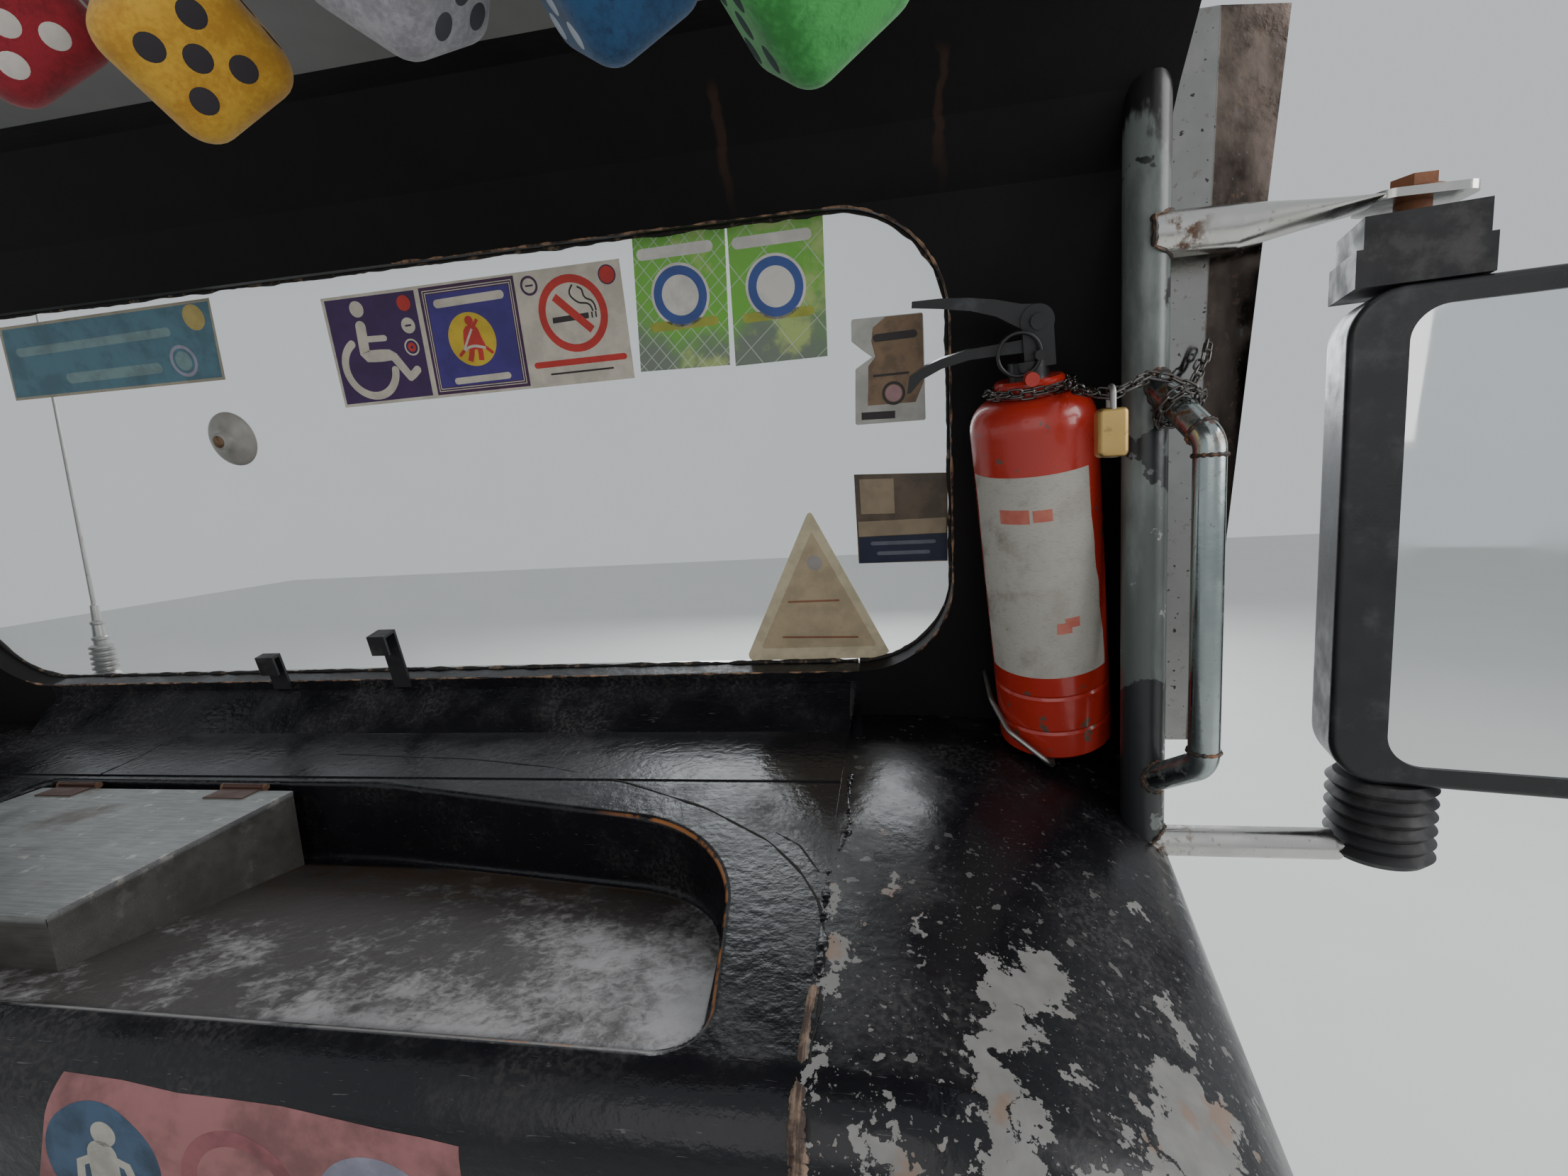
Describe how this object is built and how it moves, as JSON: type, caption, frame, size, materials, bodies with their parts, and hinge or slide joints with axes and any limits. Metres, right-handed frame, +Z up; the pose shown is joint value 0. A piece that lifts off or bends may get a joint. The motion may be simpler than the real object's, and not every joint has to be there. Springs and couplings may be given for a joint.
{
  "type": "jeepney cab front with dash and windscreen",
  "caption": "Front of a jeepney cab: firewall, dash with parcel tray and lidded box, windscreen, roof stub, pillars, mirrors, steering wheel and extinguisher.",
  "frame": {"origin": "centre of the four base bolts, on the underside of the base plate", "axes": "+X to the vehicle's right, +Y forward, +Z up"},
  "size_m": [2.2156, 0.8796, 1.352],
  "materials": {
    "black_paint": "worn gloss paint, scratched and dusty",
    "stainless": "polished, speckled with dirt",
    "screen_glass": "clear, dusty",
    "black_rubber": "weathered",
    "pale_paint": "dull paint with rust runs",
    "grey_paint": "old semi-gloss paint",
    "bright_tube": "polished, rust at the welds",
    "bare_steel": "scratched and dusty",
    "rusty_steel": "rusted",
    "gauge_face": "satin",
    "black_plastic": "scuffed",
    "zinc_steel": "dull zinc",
    "red_enamel": "gloss enamel, dirty",
    "brass": "tarnished",
    "dice_plastic": "polished",
    "clear_plastic": "clear, yellowed",
    "mirror_glass": "polished"
  },
  "bodies": {
    "cab_front": {"base_plate": "black_paint", "firewall": "black_paint", "cowl_top": "stainless", "cab_side_right": "black_paint", "cab_side_left": "black_paint", "windscreen_lower_rail": "black_paint", "windscreen_post_right": "black_paint", "windscreen_post_left": "black_paint", "windscreen_header": "black_paint", "windscreen_glass": "screen_glass", "windscreen_seal": "black_rubber", "ceiling_panel": "pale_paint", "roof_skin": "pale_paint", "roof_bow": "pale_paint", "cant_rail_right": "pale_paint", "cant_rail_left": "pale_paint", "quarter_panel_right": "black_paint", "quarter_panel_left": "black_paint", "door_pillar_right": "grey_paint", "door_pillar_left": "grey_paint", "pillar_trim_right": "stainless", "pillar_trim_left": "stainless", "grab_handle_right": "bright_tube", "grab_handle_left": "bright_tube", "dash_ledge": "black_paint", "dash_pressing": "black_paint", "tray_box": "bare_steel", "box_hinges": "rusty_steel", "binnacle": "black_paint", "gauges": "gauge_face", "column_jacket": "black_paint", "column_bushes": "black_plastic", "column_collar": "black_rubber", "extinguisher_cylinder": "red_enamel", "extinguisher_valve": "black_plastic", "extinguisher_cradle": "zinc_steel", "lock_chain": "zinc_steel", "padlock": "brass", "dice": "dice_plastic", "dice_wires": "zinc_steel", "aerial": "black_plastic", "sign_clips": "zinc_steel", "suction_cup": "clear_plastic", "mirror_boots_right": "black_rubber", "mirror_arms_right": "bright_tube", "mirror_post_right": "zinc_steel", "mirror_boots_left": "black_rubber", "mirror_arms_left": "bright_tube", "mirror_post_left": "zinc_steel"},
    "lid": {"box_lid": "bare_steel"},
    "steering": {"steering_wheel": "black_plastic", "steering_shaft": "zinc_steel"},
    "mirror_head_right": {"mirror_housing_right": "black_plastic", "mirror_glass_right": "mirror_glass"},
    "mirror_head_left": {"mirror_housing_left": "black_plastic", "mirror_glass_left": "mirror_glass"}
  },
  "joints": [
    {"name": "lid_hinge", "type": "hinge", "parent": "cab_front", "child": "lid", "pos_m": [-0.1645, -0.2665, 0.6986], "axis": [-1, 0, 0], "range_deg": [0, 100]},
    {"name": "steering_turn", "type": "hinge", "parent": "cab_front", "child": "steering", "pos_m": [-0.435, -0.7, 0.617], "axis": [0, 0.848, -0.5299], "range_deg": [-540, 540]},
    {"name": "mirror_swivel_right", "type": "hinge", "parent": "cab_front", "child": "mirror_head_right", "pos_m": [0.957, -0.235, 0.8915], "axis": [0, 0, 1], "range_deg": [-35, 35]},
    {"name": "mirror_swivel_left", "type": "hinge", "parent": "cab_front", "child": "mirror_head_left", "pos_m": [-0.957, -0.235, 0.8915], "axis": [0, 0, 1], "range_deg": [-35, 35]}
  ]
}
